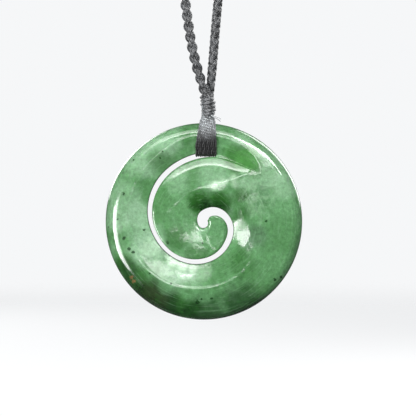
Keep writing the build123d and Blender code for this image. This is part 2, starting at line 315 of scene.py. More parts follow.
def thread_material(name, dark, light, rough, twist, lines_round, depth, worn_and_lit=None):
    """Fibres at a slant: a wave of the way round plus the length along. The last argument, if given, is a
    colour and two heights, between which the thread turns paler upwards: rubbed thread and a painted
    highlight.
    """
    material, shader, wire = new_material(name, IOR=1.5, Sheen_Weight=0.15, Sheen_Roughness=0.4)
    length = wire.node("SeparateXYZ", {"Vector": wire.node("UVMap", uv_map="along")})
    place = wire.node("TexCoord", give=3)
    stray = wire.noise(place, STRAY_SCALE) * STRAY
    phase = (length.beside(1) * lines_round + length * twist) * math.tau + stray
    fibre = phase.maths("SINE", phase) * 0.5 + 0.5
    patchy = wire.noise(place, PATCHY_SCALE, 3.0)
    amount = (fibre * 0.75 + patchy * 1.3 - 0.55).smooth(0.25, 0.95)
    # The lighter colour on the fibres' crests and in patches is painted sheen
    colour = amount.mix(dark, light)
    if worn_and_lit:
        shade, low, high = worn_and_lit
        # The paler top is partly rubbed thread and partly painted highlight
        height = wire.node("SeparateXYZ", {"Vector": place}, 2)
        rubbed_and_lit = (height + patchy * RUB_AND_HIGHLIGHT_DRIFT * MM).smooth(low * MM, high * MM)
        colour = (rubbed_and_lit * amount).mix(colour, shade)
    plug(shader, "Base Color", colour)
    plug(shader, "Roughness", rough + patchy * 0.2)
    plug(shader, "Normal", wire.node("Bump", {"Height": fibre, "Distance": depth * MM, "Strength": 0.9}))
    return material


CHARCOAL, SOFT, GREY, STEEL, FRAYED = (
    (0.002, 0.002, 0.0023, 1),
    (0.005, 0.005, 0.0055, 1),
    (0.112, 0.116, 0.122, 1),
    (0.155, 0.160, 0.168, 1),
    (0.400, 0.430, 0.445, 1),
)
# The sling's thread turns paler and paler from the first height up to the second: partly rubbed and frayed
# thread, partly a painted highlight on the top of the band
RUB_AND_HIGHLIGHT = (FRAYED, stone_middle + 18.2, stone_middle + 24.6)
plait_finish = thread_material("plaited_cord", CHARCOAL, GREY, 0.20, 0.7, 10, 0.06)
whip_finish = thread_material("whipping_thread", CHARCOAL, STEEL, 0.20, 0.8, 7, 0.05)
sling_finish = thread_material("sling_thread", CHARCOAL, SOFT, 0.30, 1.6, 4, 0.03, RUB_AND_HIGHLIGHT)
knot_finish = thread_material("knot_thread", CHARCOAL, GREY, 0.22, 0.8, 8, 0.05)
frayed_finish = thread_material("frayed_thread", GREY, FRAYED, 0.30, 1.6, 3, 0.02)
# %% [markdown]
# ## The neck cord's line
# The cord hangs taut under the stone's weight, each side a long shallow curve, and bends over at the top to
# the closure. Chosen points pull a NURBS spline, and its smooth line is read back for the strands to follow.
# %% The cord's route
# Points that pull the spline: sideways, forward, and up from the top of the whipping, in millimetres
LEFT_ROUTE = [
    (0.6, 1.1, -2), (0.17, 1.2, 0.55), (-1.95, 1.05, 7.1), (-3.45, 0.75, 14.6), (-5.15, 0.35, 28.3),
    (-8.15, 0.1, 55), (-13.34, 0, 104), (-18.32, 0, 153), (-22.87, 0, 199), (-27.49, 0, 247),
    (-29.81, 0, 271.5), (-31.04, 0, 284.8), (-29.78, 0, 291.58), (-26.72, 0, 297.77), (-22.07, 0, 302.87),
    (-16.21, 0, 306.51), (-9.57, 0, 308.4), (-2.67, 0, 308.4),
]
RIGHT_ROUTE = [
    (1.2, -1.1, -2), (1.36, -1.2, 0.3), (2, -1.05, 7.1), (2.58, -0.75, 14.6), (3.85, -0.35, 28.3),
    (6.54, -0.1, 55), (11.64, 0, 104), (16.84, 0, 153), (21.74, 0, 199), (26.88, 0, 247), (29.52, 0, 271.5),
    (30.96, 0, 284.8), (29.74, 0, 291.58), (26.7, 0, 297.77), (22.05, 0, 302.87), (16.2, 0, 306.51),
    (9.57, 0, 308.4), (2.67, 0, 308.4),
]
SPLINE_STEPS = 40


def spline_line(route):
    """A NURBS spline through the pull of chosen points, read back as points in millimetres."""
    curve = bpy.data.curves.new("route", "CURVE")
    curve.dimensions, curve.resolution_u = "3D", SPLINE_STEPS
    spline = curve.splines.new("NURBS")
    spline.points.add(len(route) - 1)
    for point, (side, forward, up) in zip(spline.points, route):
        point.co = (side * MM, -forward * MM, binding_high.z + up * MM, 1)
    spline.order_u, spline.use_endpoint_u = 3, True
    holder = bpy.data.objects.new("route", curve)
    mesh = bpy.data.meshes.new_from_object(holder)
    points = np.empty(len(mesh.vertices) * 3)
    mesh.vertices.foreach_get("co", points)
    bpy.data.objects.remove(holder)
    bpy.data.meshes.remove(mesh)
    return points.reshape(-1, 3) / MM


def even_steps(points, step):
    """Points at even steps of length along a line."""
    length = along_line(points)
    wanted = np.linspace(0, length[-1], max(int(length[-1] / step), 2) + 1)
    return together(*(np.interp(wanted, length, axis) for axis in points.T)), wanted


left_line, right_line = spline_line(LEFT_ROUTE), spline_line(RIGHT_ROUTE)
for line in (left_line, right_line):
    print("route:", round(along_line(line)[-1], 1), "mm")
# %% [markdown]
# ## The plait
# Four strands make a round braid: two wind one way and two the other. A strand goes over one of the others
# and under the next, so its distance from the middle rises and falls twice in each turn. The crossings stand
# in four columns, and seen from the front two of them make a chain of V shapes.
# %% Plaited neck cord
PLAIT_TURN = 4.9
PLAIT_RADIUS, PLAIT_WEAVE, PLAIT_LEAN = 0.64, 0.17, 0.24
STRAND_OUT, STRAND_SIDE, CORE_THREAD = 0.42, 0.60, 0.45
STEPS_PER_TURN, STRAND_SIDES, THREAD_SIDES = 14, 12, 8
# The whipping squeezes the plait to this share, over this length of it
GRIP, GRIP_LENGTH, GRIP_BOW = 0.78, 8.0, 0.7


def plait(line, first_column, name, start, stands_for):
    """Four strands: angle grows or falls with the length, and the radius has a cosine of twice that angle."""
    line, length = even_steps(line, PLAIT_TURN / STEPS_PER_TURN)
    ahead = unit(np.gradient(line, axis=0))
    side = unit(np.cross(ahead, [0, -1, 0]))
    front = np.cross(side, ahead)
    pinch = GRIP + (1 - GRIP) * np.clip(length / GRIP_LENGTH, 0, 1) ** GRIP_BOW
    winding = math.tau * length / PLAIT_TURN + start
    phase = 2 * (winding - first_column)
    lines, outward = [], []
    for way in (1, -1):
        for half in (0, 1):
            angle = way * phase / 2 - PLAIT_LEAN * np.sin(phase) + first_column + half * math.pi
            reach = (PLAIT_RADIUS + way * PLAIT_WEAVE * np.cos(phase)) * pinch
            out = front * np.cos(angle)[:, None] + side * np.sin(angle)[:, None]
            lines.append(line + out * reach[:, None])
            outward.append(out)
    core = CORE_THREAD * pinch
    make_threads(
        name, plait_finish, "plaited_cord", [stands_for],
        strands(np.array(lines), np.array(outward), STRAND_OUT * pinch, STRAND_SIDE * pinch, STRAND_SIDES),
        strands(line, front, core, core, THREAD_SIDES),
    )


plait(left_line, 0.0, "plait_left", 0.4, "neck_braid_left")
plait(right_line, math.radians(45), "plait_right", 1.7, "neck_braid_right")
# %% [markdown]
# ## The closure
# Behind the neck the two cords meet in a small barrel, wound with the same thread in close turns.
# %% Wound closure
KNOT_THREAD, KNOT_CORE, KNOT_PACK, KNOT_SINK = 0.42, 0.5, 0.97, 1.3
KNOT_STEPS, KNOT_TUCK, CORE_SIDES = 28, 1.5, 32
knot_low, knot_high = (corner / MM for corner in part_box("back_knot"))
knot_radius = (knot_high.z - knot_low.z) / 2
knot_middle = np.array([0, 0, (knot_high.z + knot_low.z) / 2])
knot_reach = knot_high.x - KNOT_THREAD
knot_turns = (knot_reach - knot_low.x - KNOT_THREAD) / (2 * KNOT_THREAD * KNOT_PACK)


def tucked(wind, over):
    """0 where a winding starts and ends, 1 an angle away from both: a square root, so it is round."""
    return np.clip(np.minimum(wind, wind[-1] - wind) / over, 0, 1) ** 0.5


wind = np.linspace(0, math.tau * knot_turns, int(KNOT_STEPS * knot_turns))
knot_out = together(0, np.sin(wind), np.cos(wind))
knot_tuck = tucked(wind, KNOT_TUCK)
knot_line = knot_out * (knot_radius - KNOT_THREAD * (2 - knot_tuck))[:, None] + knot_middle
knot_line[:, 0] = np.linspace(-knot_reach, knot_reach, len(wind))
core = np.array([[knot_low.x + KNOT_CORE, 0, 0], [knot_high.x - KNOT_CORE, 0, 0]]) + knot_middle
core_radius = knot_radius - KNOT_SINK * KNOT_THREAD
thread = KNOT_THREAD * knot_tuck
make_threads(
    "wound_closure", knot_finish, "knot_thread", ["back_knot"],
    strands(knot_line, knot_out, thread, thread, THREAD_SIDES),
    strands(np.linspace(*core, 6), [0, 0, 1.0], core_radius, core_radius, CORE_SIDES),
)
# %% [markdown]
# ## The stone's section
# The disc is turned on a wheel: a low dome in front, a flatter one behind, and a rim rounded more in front.
# Both faces are circles' arcs, so their height at a distance from the middle is a square root.
# %% The uncarved faces
STONE_THICKNESS = 6.8
FRONT_SHARE, FRONT_SAG, FRONT_ROUND = 0.53, 0.27, 0.44
BACK_SAG, BACK_ROUND = 0.15, 0.20


def face_shape(*shares):
    """Height, dome radius, rounding, join radius and rim centre height of a domed face with a rounded rim."""
    height, sag, rounding = (share * STONE_THICKNESS for share in shares)
    dome = (stone_radius**2 + sag**2) / (2 * sag)
    join = (stone_radius - rounding) / (1 - rounding / dome)
    join_height = height - dome + math.sqrt(dome**2 - join**2)
    return height, dome, rounding, join, join_height - rounding * math.sqrt(1 - (join / dome) ** 2)


FRONT = face_shape(FRONT_SHARE, FRONT_SAG, FRONT_ROUND)
BACK = face_shape(1 - FRONT_SHARE, BACK_SAG, BACK_ROUND)


def face_height(shape, radius):
    """Height over the middle plane: the dome's arc as far as the join, then the rim's quarter circle."""
    height, dome, rounding, join, land = shape
    inside = height - dome + np.sqrt(dome**2 - np.minimum(radius, join) ** 2)
    past = np.clip(radius - stone_radius + rounding, 0, rounding)
    return np.where(radius < join, inside, land + np.sqrt(rounding**2 - past**2))


print("front stands", round(float(face_height(FRONT, np.array(0.0))), 2), "mm at its middle")
# %% [markdown]
# ## The spiral
# A koru is an unrolling fern leaf. Its slot winds once round and hooks into a drilled hole. Both of its walls
# are tables of a few rows, measured from the hole: a turn in degrees and a radius as a share of the stone's.
# %% Walls of the slot
HOLE = np.array([-0.0095, -0.0163])
HALF_SLOT = 0.0256
SLOT = [
    (79.6, 0.711, 1.05), (94, 0.683, 1.05), (110, 0.655, 1.05), (140, 0.606, 1.1), (170, 0.548, 0.97),
    (200, 0.485, 0.92), (230, 0.44, 0.92), (260, 0.399, 1.05), (290, 0.36, 1.05), (320, 0.319, 1.15),
    (350, 0.284, 1.22), (380, 0.224, 1.6),
]
HOOK_OUTER = [(410, 0.206), (440, 0.146), (470, 0.107), (500, 0.075), (530, 0.057)]
HOLE_EDGE = [(560, 0.0515), (600, 0.0511), (700, 0.0511), (780, 0.0511)]
# The hook's tip: a running number, then turn and radius of its outer side and turn of its inner side
HOOK_TIP = [(391, 391, 0.146, 741), (400, 399, 0.11, 744), (408, 401, 0.083, 746), (416, 386, 0.0511, 746)]
SLOT_START, TIP_END = SLOT[0][0], HOOK_TIP[-1][0]

OUTER_WALL = [(turn, middle + width * HALF_SLOT) for turn, middle, width in SLOT] + HOOK_OUTER + HOLE_EDGE
INNER_WALL = [(turn, turn, middle - width * HALF_SLOT, turn + 360) for turn, middle, width in SLOT] + HOOK_TIP


def spiral(turn, share):
    """Sideways and up of points at these turns and radii, as an array with two columns."""
    angle = np.radians(turn)
    arm = together(np.cos(angle), np.sin(angle))
    return (HOLE + arm * np.asarray(share)[..., None]) * stone_radius


def turn_and_share(places, near):
    """Turn, within half a turn of near, and radius share of places on the stone."""
    off = places / stone_radius - HOLE
    turn = np.degrees(np.arctan2(off[..., 1], off[..., 0]))
    return turn + 360 * np.round((near - turn) / 360), np.linalg.norm(off, axis=-1)


print("slot runs from turn", SLOT_START, "to", SLOT[-1][0], "and into the hook")
# %% [markdown]
# ## The carving
# Beside the slot the carver sank a scoop that rises to a crest, and on the right a deeper one starts inside
# it. The leaf's face is bevelled from a straight ridge. Each is a height at a turn and a radius, and the
# surface is the lowest of them. A smooth minimum rounds each crest the way polishing does.
# %% Depth of the carving
SCOOP_DEPTH, SCOOP_BOW, INNER_BOW = 1.5, 1.5, 1.2
# How crisp the crests of the outer and the inner scoop are: turn and rounding in millimetres
CREST = [(60, 0.16), (95, 0.18), (140, 0.28), (170, 0.28), (220, 0.3), (260, 0.22), (300, 0.35), (380, 0.5)]
INNER_CREST = [(340, 0.3), (380, 0.12), (430, 0.12), (455, 0.4), (475, 0.8), (520, 1.1), (700, 0.9)]
# Turn, radius of the scoop's inner side, radius of its crest, and depth as a share of SCOOP_DEPTH. A negative
# depth runs out above the dome.
OUTER_SCOOP = [
    (38, 0.77, 0.792, -0.15), (44, 0.746, 0.808, 0.12), (52, 0.718, 0.844, 0.44), (62, 0.7, 0.873, 0.72),
    (79, 0.7, 0.883, 0.95), (98, 0.675, 0.875, 1), (122, 0.635, 0.822, 1), (150, 0.588, 0.785, 1),
    (180, 0.527, 0.756, 1), (210, 0.469, 0.745, 1), (240, 0.426, 0.702, 1.05), (270, 0.386, 0.656, 1.05),
    (300, 0.346, 0.63, 1.05), (330, 0.307, 0.606, 1.05), (346, 0.288, 0.592, 0.9),
    (359, 0.272, 0.575, 0.66), (371, 0.248, 0.56, 0.46), (385, 0.215, 0.585, 0.3),
    (402, 0.175, 0.665, 0.18), (418, 0.15, 0.74, -0.15),
]
INNER_SCOOP = [
    (305, 0.33, 0.53, -0.15), (320, 0.316, 0.522, 0.35), (336, 0.3, 0.508, 0.75), (352, 0.28, 0.49, 1),
    (366, 0.255, 0.466, 1.1), (383, 0.22, 0.44, 1.12), (402, 0.175, 0.408, 1.12), (428, 0.11, 0.352, 1.05),
    (455, 0.07, 0.322, 0.95), (485, 0.05, 0.268, 0.8), (515, 0.04, 0.24, 0.65), (550, 0.04, 0.222, 0.5),
    (585, 0.04, 0.215, 0.42), (615, 0.04, 0.2, 0.36), (645, 0.04, 0.18, 0.25), (680, 0.04, 0.16, 0.05),
    (710, 0.04, 0.15, -0.15),
]
# The ledge where the leaf drops into the scoop, past the slot's end: turn, radius, rounding in millimetres
LEDGE = [
    (36, 0.775, 0.02), (44, 0.742, 0.1), (52, 0.716, 0.28), (62, 0.698, 0.45), (72, 0.69, 0.45),
    (79.6, 0.684, 0.45), (95, 0.657, 0.45),
]
RIDGE_TAIL, RIDGE_HEAD = np.array([0.540, 0.478]), np.array([-0.062, 0.320])
# The leaf's tilt in degrees, its ridge's rounding along it and at its head, and how the ridge's ends fade
LEAF_TILT, RIDGE_ROUND, HEAD_ROUND = 9.0, 0.04, 0.7
TAIL_FADE, HEAD_FADE = 2.0, 5.0
# The lip along the leaf's upper edge, from its tail: turn, width and depth in millimetres
LIP = [
    (40, 0.4, 0), (48, 1.4, 0.1), (60, 1.9, 0.25), (79.6, 2.1, 0.34), (100, 2.1, 0.34), (122, 1.8, 0.26),
    (150, 1, 0.1), (175, 0.4, 0),
]
LIP_BOW = 1.5


def lowest(first, second, rounding):
    """The smaller of two heights, with the crease between them rounded off."""
    near = np.maximum(rounding - np.abs(first - second), 0) / rounding
    return np.minimum(first, second) - near * near * rounding / 4


def leaf_cut(places):
    """Depth of the leaf's bevel: the distance past the ridge, times the bevel's slope."""
    ridge = (RIDGE_HEAD - RIDGE_TAIL) * stone_radius
    whole = np.linalg.norm(ridge)
    off = places - RIDGE_TAIL * stone_radius
    past, gone = off @ [ridge[1], -ridge[0]] / whole, off @ ridge / whole
    ease = np.clip(gone / TAIL_FADE, 0, 1)
    rounding = np.interp(gone, (whole, whole + HEAD_FADE), (RIDGE_ROUND, HEAD_ROUND))
    slope = math.tan(math.radians(LEAF_TILT)) * ease * ease * (3 - 2 * ease)
    return -lowest(-past * slope, 0 * past, rounding)


def lip_drop(inside, width, depth):
    """How far the leaf's upper lip has dropped: a depth times the share of its width that is left, bowed."""
    return depth * np.clip(1 - inside / width, 0, 1) ** LIP_BOW


def edge_drop(inside, rounding):
    """How far a rounded edge has dropped at this distance inside it: a quarter circle."""
    short = np.clip(rounding - inside, 0, rounding)
    return rounding - np.sqrt(np.maximum(rounding**2 - short**2, 0))


print("scoops", len(OUTER_SCOOP), "and", len(INNER_SCOOP), "rows")
# %% [markdown]
# ## The carved front as one height
# The strip between the two walls winds inwards like a ribbon, and one function gives the front height on it.
# Past the leaf's tail the ribbon lies beside its own beginning, and there the leaf stands over the groove of
# the outer scoop with a rounded ledge.
# %% Height of the front
# A scoop's least rise, the fall outside the ledge, the turn where the ledge starts, and the seam's slack
FADE_RISE, LEDGE_SLOPE = 0.1, 2.5
SECOND_LAP, SEAM_SLACK = 396.0, 0.2
# Waves left by the carver's hand: radians to a millimetre sideways and up, start, and height in millimetres
HAND_WAVES = [
    (0.62, 0.35, 0.4, 0.011),
    (-0.41, 0.78, 2.1, 0.01),
    (0.18, -1.05, 4.4, 0.008),
    (1.3, 0.52, 1.2, 0.005),
    (-1.12, 1.21, 3.3, 0.004),
]
# The shallow hollow right of the slot: sideways, up, reach and depth in millimetres
HOLLOW_SIDE, HOLLOW_UP, HOLLOW_REACH, HOLLOW_DEPTH = 5.4, -2.4, 5.4, 0.50


def hollow_drop(places):
    """How far the hollow goes down: its depth times the square of one less the distance squared."""
    far = np.linalg.norm(places - [HOLLOW_SIDE, HOLLOW_UP], axis=-1) / HOLLOW_REACH
    return HOLLOW_DEPTH * (1 - np.minimum(far, 1) ** 2) ** 2


def scooped(height, dome, turn, share, scoop, crest, bow=SCOOP_BOW):
    """A height or the scoop's floor if lower: the dome less a depth, easing back with a bow at the crest."""
    inner, outer, depth = follow(scoop, turn)
    part = np.maximum((share - inner) / (outer - inner), 0) ** bow
    floor = dome - SCOOP_DEPTH * (depth - np.maximum(depth, FADE_RISE) * part)
    return lowest(height, floor, *follow(crest, turn))


def front_height(places, turn, share):
    """The lowest of the dome, the leaf's bevel and both scoops, with the ledge on the second lap."""
    dome = face_height(FRONT, np.linalg.norm(places, axis=-1))
    for side_waves, up_waves, start, height in HAND_WAVES:
        dome = dome + height * np.sin(places[..., 0] * side_waves + places[..., 1] * up_waves + start)
    both = scooped(dome, dome, turn, share, OUTER_SCOOP, CREST)
    both = scooped(both, dome, turn, share, INNER_SCOOP, INNER_CREST, INNER_BOW) - hollow_drop(places)
    leaf = lowest(both, dome - leaf_cut(places), RIDGE_ROUND)
    groove = scooped(dome, dome, turn - 360, share, OUTER_SCOOP, CREST)
    ledge_share, ledge_round = follow(LEDGE, turn - 360)
    inside = (ledge_share - share) * stone_radius
    dropped = leaf - edge_drop(inside, ledge_round) - lip_drop(inside, *follow(LIP, turn - 360))
    dropped = dropped - LEDGE_SLOPE * np.maximum(-inside, 0)
    ledge = np.maximum(dropped, np.where(inside > 0, np.minimum(groove, leaf), groove))
    lap = np.where(turn < SECOND_LAP, both, ledge)
    return np.where(turn > SLOT_START + 360 - SEAM_SLACK, leaf, lap)


print("front at the hole's left", round(float(front_height(np.array([-8.0, 0.0]), 180.0, 0.35)), 2), "mm")
# %% [markdown]
# ## Two ribbons make the stone
# The mesh is two ribbons of rings. The outer one goes from the slot's outer wall to the rim for a whole lap,
# and the inner one from the hook and the hole to the slot's inner wall. Each ring runs over the front, round
# the edge, back behind, and up the wall. Its rows gather where the surface bends: a running total of the bend
# is turned round, and equal steps of it are the rows.
# %% Ribbons of rings
OUTER_COLUMNS, INNER_COLUMNS = 520, 400
OUTER_FRONT, INNER_FRONT = 66, 44
EDGE_ROWS, RIM_ROWS, BACK_ROWS, WALL_ROWS = 5, 9, 12, 5
# Rounding of the back's edges, and the shares of a narrow ribbon that roundings may take in front and behind
BACK_EDGE, FRONT_ROOM, BACK_ROOM = 0.25, 0.9, 0.45
NO_LENGTH = 1e-6
# Trial rows, how strongly a bend draws rows, its cap, and the reach of the smoothing along and across
FINE, BEND_PULL, BEND_CAP = 500, 0.9, 6.0
SMOOTH_REACH = 6, 3
# Radius of the rounding along the slot's inner wall, and along its outer wall, the hook and the hole
SLOT_ROUND = [
    (79.6, 0.45), (100, 0.45), (120, 0.45), (150, 0.45), (200, 0.35), (260, 0.35), (300, 0.6), (340, 0.9),
    (380, 0.7), (400, 0.4), (416, 0.3),
]
WALL_ROUND = [(79.6, 0.25), (380, 0.25), (440, 0.3), (500, 0.35), (530, 0.5), (600, 0.8), (780, 0.8)]


def ray_to_circle(turn, circle):
    """Radius share at which a ray from the hole meets a circle round the middle: a quadratic's root."""
    angle = np.radians(turn)
    lean = HOLE[0] * np.cos(angle) + HOLE[1] * np.sin(angle)
    return np.sqrt(lean * lean - HOLE @ HOLE + circle * circle) - lean


def gathered(height, length, rows):
    """Fractions of a line for equal steps of a running total, which grows faster where the height bends."""
    step = length / (height.shape[1] - 1)
    bend = np.abs(np.gradient(np.gradient(height, axis=1), axis=1)) / step**2
    pull = 1 + BEND_PULL * np.minimum(bend, BEND_CAP)
    for reach in SMOOTH_REACH:
        padded = np.pad(pull, ((0, 0), (reach + 1, reach)), mode="edge")
        padded[:, 0] = 0
        total = np.cumsum(padded, axis=1)
        width = 2 * reach + 1
        pull = ((total[:, width:] - total[:, :-width]) / width).T
    running = np.cumsum(pull, axis=1)
    running = (running - running[:, :1]) / (running[:, -1:] - running[:, :1])
    shift = 2.0 * np.arange(len(height))[:, None]
    fine = np.broadcast_to(np.linspace(0, 1, height.shape[1]), height.shape)
    wanted = np.linspace(0, 1, rows) + shift
    return np.interp(wanted.ravel(), (running + shift).ravel(), fine.ravel()).reshape(wanted.shape)


def quarter(rows):
    """Shares of a rounding's radius, from its edge inwards: one less the sine of even angles."""
    return 1 - np.sin(np.linspace(math.pi / 2, 0, rows, endpoint=False))


def rim_fractions(start, near, shape, rows):
    """How far from the start to the rim a ray is where it meets the rings of a rounded rim, from its join."""
    _, dome, rounding, join, _ = shape
    leans = np.linspace(math.asin(join / dome), math.pi / 2, rows)
    rings = (stone_radius - rounding + rounding * np.sin(leans)) / stone_radius
    inner = np.linalg.norm(start / stone_radius - HOLE, axis=1)[:, None]
    return (ray_to_circle(near, rings) - inner) / (ray_to_circle(near, 1.0) - inner)


def ribbon(start, end, near, start_round, end_round, rim, front_rows):
    """Rings between two lines of places. rim says that the second line is the stone's rim."""
    length = np.linalg.norm(end - start, axis=1)[:, None]
    span = np.maximum(length, NO_LENGTH)
    near, start_round, end_round = near[:, None], start_round[:, None], end_round[:, None]

    def at(fractions):
        return start[:, None] + (end - start)[:, None] * fractions[..., None]

    def front(fractions):
        places, from_start = at(fractions), fractions * length
        height = front_height(places, *turn_and_share(places, near)) - edge_drop(from_start, start_round)
        if rim:
            return height
        to_end = length - from_start
        return height - edge_drop(to_end, end_round) - lip_drop(to_end, *follow(LIP, near - 360))

    room = np.minimum(1, FRONT_ROOM * length / (start_round + end_round))
    low = start_round * room / span
    if rim:
        turned = rim_fractions(start, near, FRONT, RIM_ROWS + 1)
        high, last = turned[:, :1], turned[:, 1:]
    else:
        high = 1 - end_round * room / span
        last = 1 - (1 - high) * quarter(EDGE_ROWS)[::-1]
    fine = low + (high - low) * np.linspace(0, 1, FINE)
    middle = low + (high - low) * gathered(front(fine), (high - low) * length, front_rows)
    over = np.concatenate([low * quarter(EDGE_ROWS), middle, last], axis=1)
    top = front(over)

    edge = np.minimum(BACK_EDGE, BACK_ROOM * length)
    share = edge / span
    near_start = share * quarter(EDGE_ROWS)
    if rim:
        turned = rim_fractions(start, near, BACK, RIM_ROWS)[:, ::-1]
        outermost = turned[:, -1:]
    else:
        turned, outermost = 1 - near_start, 1 - share
    inward = outermost + (share - outermost) * np.linspace(0, 1, BACK_ROWS + 1)[1:]
    under = np.concatenate([turned, inward, near_start[:, ::-1]], axis=1)
    back = edge_drop(under * length, edge) - face_height(BACK, np.linalg.norm(at(under), axis=-1))
    if not rim:
        back = back + edge_drop((1 - under) * length, edge)

    climb = np.linspace(0, 1, WALL_ROWS + 2)[1:-1]

    def wall(places, foot, head):
        return np.repeat(places[:, None], WALL_ROWS, axis=1), foot + (head - foot) * climb

    parts = [(at(over), top), (at(under), back), wall(start, back[:, -1:], top[:, :1])]
    if not rim:
        parts.insert(1, wall(end, top[:, -1:], back[:, :1]))
    places, forward = (np.concatenate(part, axis=1) for part in zip(*parts))
    return on_stone(places[..., 0], places[..., 1], forward), [part[1].shape[1] for part in parts]


outer_turn = np.linspace(SLOT_START, SLOT_START + 360 - 360 / OUTER_COLUMNS, OUTER_COLUMNS)
(outer_share,), (outer_round,) = follow(OUTER_WALL, outer_turn), follow(WALL_ROUND, outer_turn)
outer_ring, outer_counts = ribbon(
    spiral(outer_turn, outer_share),
    spiral(outer_turn, ray_to_circle(outer_turn, 1.0)),
    outer_turn, outer_round, 0 * outer_turn, True, OUTER_FRONT,
)

inner_run = np.linspace(SLOT_START, TIP_END, INNER_COLUMNS)
wall_turn, wall_share, hole_turn = follow(INNER_WALL, inner_run)
(hole_share,), (hole_round,) = follow(OUTER_WALL, hole_turn), follow(WALL_ROUND, hole_turn)
(slot_round,) = follow(SLOT_ROUND, inner_run)
inner_ring, inner_counts = ribbon(
    spiral(hole_turn, hole_share),
    spiral(wall_turn, wall_share),
    wall_turn + 360, hole_round, slot_round, False, INNER_FRONT,
)
print("rings:", outer_ring.shape[:2], inner_ring.shape[:2])
# %% [markdown]
# ## Closing the lap
# On the ray where the slot begins, the last ring of the outer ribbon meets the inner ribbon's first ring and
# its own. They are zipped together: both chains of points are ordered by length, and each step on one makes a
# triangle with the nearest point so far on the other.
# %% Zip the seam


def zip_chains(points, first, second):
    """Triangles between two chains of point numbers. Each step takes the last point passed on the other."""
    lengths = (along_line(points[chain]) for chain in (first, second))
    at_first, at_second = (length / length[-1] for length in lengths)
    beside = np.searchsorted(at_second[1:], at_first[1:], side="left")
    below = np.searchsorted(at_first[1:], at_second[1:], side="right")
    forward = together(first[:-1], first[1:], second[np.minimum(beside, len(second) - 1)])
    back = together(second[1:], second[:-1], first[np.minimum(below, len(first) - 1)])
    return np.concatenate([forward, back])


def to_start(ring, number):
    """A ring's points from one number on, and then its first."""
    return np.concatenate([ring[number:], ring[:1]])


stone_points = np.concatenate([outer_ring.reshape(-1, 3), inner_ring.reshape(-1, 3)])
outer_rows, inner_rows = outer_ring.shape[1], inner_ring.shape[1]
inner_base = len(outer_ring) * outer_rows
stone_quads = np.concatenate(
    [grid_faces(len(outer_ring), outer_rows), grid_faces(len(inner_ring), inner_rows) + inner_base]
)
outer_last = inner_base - outer_rows + np.arange(outer_rows)
outer_first = np.arange(outer_rows)
inner_first = inner_base + np.arange(inner_rows)
# Where on its ring each ribbon's rim or slot edge, its back and its wall begin
rim_at, outer_wall_at = np.cumsum(outer_counts)[:2]
slot_at, back_at, inner_wall_at = np.cumsum(inner_counts)[:3]
seam_chains = [
    (outer_last[:rim_at], np.concatenate([inner_first[:slot_at], outer_first[:rim_at]])),
    (
        outer_last[rim_at:outer_wall_at],
        np.concatenate([outer_first[rim_at:outer_wall_at], inner_first[back_at:inner_wall_at]]),
    ),
    (to_start(outer_last, outer_wall_at - 1), to_start(inner_first, inner_wall_at - 1)),
    (outer_last[rim_at - 1:rim_at + 1], outer_first[rim_at - 1:rim_at + 1]),
    (inner_first[slot_at - 1:back_at + 1][::-1], to_start(outer_first, outer_wall_at - 1)),
]
stone_triangles = np.concatenate([zip_chains(stone_points, *chains) for chains in seam_chains])
print("seam triangles:", len(stone_triangles))
# %% [markdown]
# ## Jade
# Light goes a little way into nephrite and comes out green. Its colour drifts in clouds, with pale veins and
# small dark specks. The clouds are noise in the stone's own millimetres. Patches put on the stone add more
# cloud, and also painted shade where less light falls (above the hook, in the scoops and the groove, along the
# bottom), painted highlights and reflections (at the top, on the left, on the right rim, along the ridge and
# the slot's edge) and a painted glow where light comes through the thin groove. The polish is a low roughness,
# with a faint unevenness and fine marks of the wheel that break up the reflections.
# %% Jade material
jade, jade_shader, wire = new_material(
    "jade", IOR=1.61, Subsurface_Weight=0.28, Subsurface_Radius=(0.5, 1.0, 0.45), Subsurface_Scale=1.6 * MM
)
# Greens of the stone, also used by the patches for painted shade and painted highlights
PALE, LIGHT, MIDDLE, DEEP, DARK = (
    (0.170, 0.290, 0.180, 1),
    (0.075, 0.185, 0.078, 1),
    (0.048, 0.138, 0.048, 1),
    (0.014, 0.070, 0.010, 1),
    (0.002, 0.018, 0.002, 1),
)
OLIVE, RUST, VEIN = (0.012, 0.020, 0.005, 1), (0.130, 0.075, 0.030, 1), (0.150, 0.260, 0.150, 1)
# The milky white paints reflections and highlights, and the glow green paints light coming through thin stone
REFLECTION_WHITE, GLOW, SLATE = (0.300, 0.420, 0.300, 1), (0.045, 0.170, 0.034, 1), (0.045, 0.092, 0.050, 1)
place = wire.node("TexCoord", give=3)
place = wire.node("Mapping", {"Vector": place, "Location": (0, 0, -stone_middle * MM)})
# Patches count a part of the depth, and specks none of it
squashed = wire.vector("MULTIPLY", {0: place, 1: (1, 0.4, 1)})
face_on = wire.vector("MULTIPLY", {0: place, 1: (1, 0, 1)})
# Where a patch and a speck start to fade and end, as shares of their reach, and how ragged a speck is
PATCH_FADE, SPECK_FADE, RAGGED = (0.35, 1.0), (0.5, 1.3), 2.6


def noise(scale, detail=2.0, rough=0.5, shift=0.0, warp=0.0):
    """Noise over the stone, scale lumps to the metre, shifted so that each use differs."""
    moved = wire.node("Mapping", {"Vector": place, "Location": (shift, 2 * shift, 3 * shift)})
    return wire.noise(moved, scale, detail, rough, warp)


def distance(where, side, up, reach):
    """How far a place on the stone is from a spot, as a share of a reach in millimetres."""
    return wire.vector("DISTANCE", {0: where, 1: (side * MM, 0, up * MM)}, 1) * (1 / (reach * MM))


def patch(side, up, reach, blur=0.8):
    """1 at a spot on the stone's face, fading to 0 at its reach in millimetres, with a clouded edge."""
    return 1 - (distance(squashed, side, up, reach) + (edge_cloud - 0.5) * blur).smooth(*PATCH_FADE)


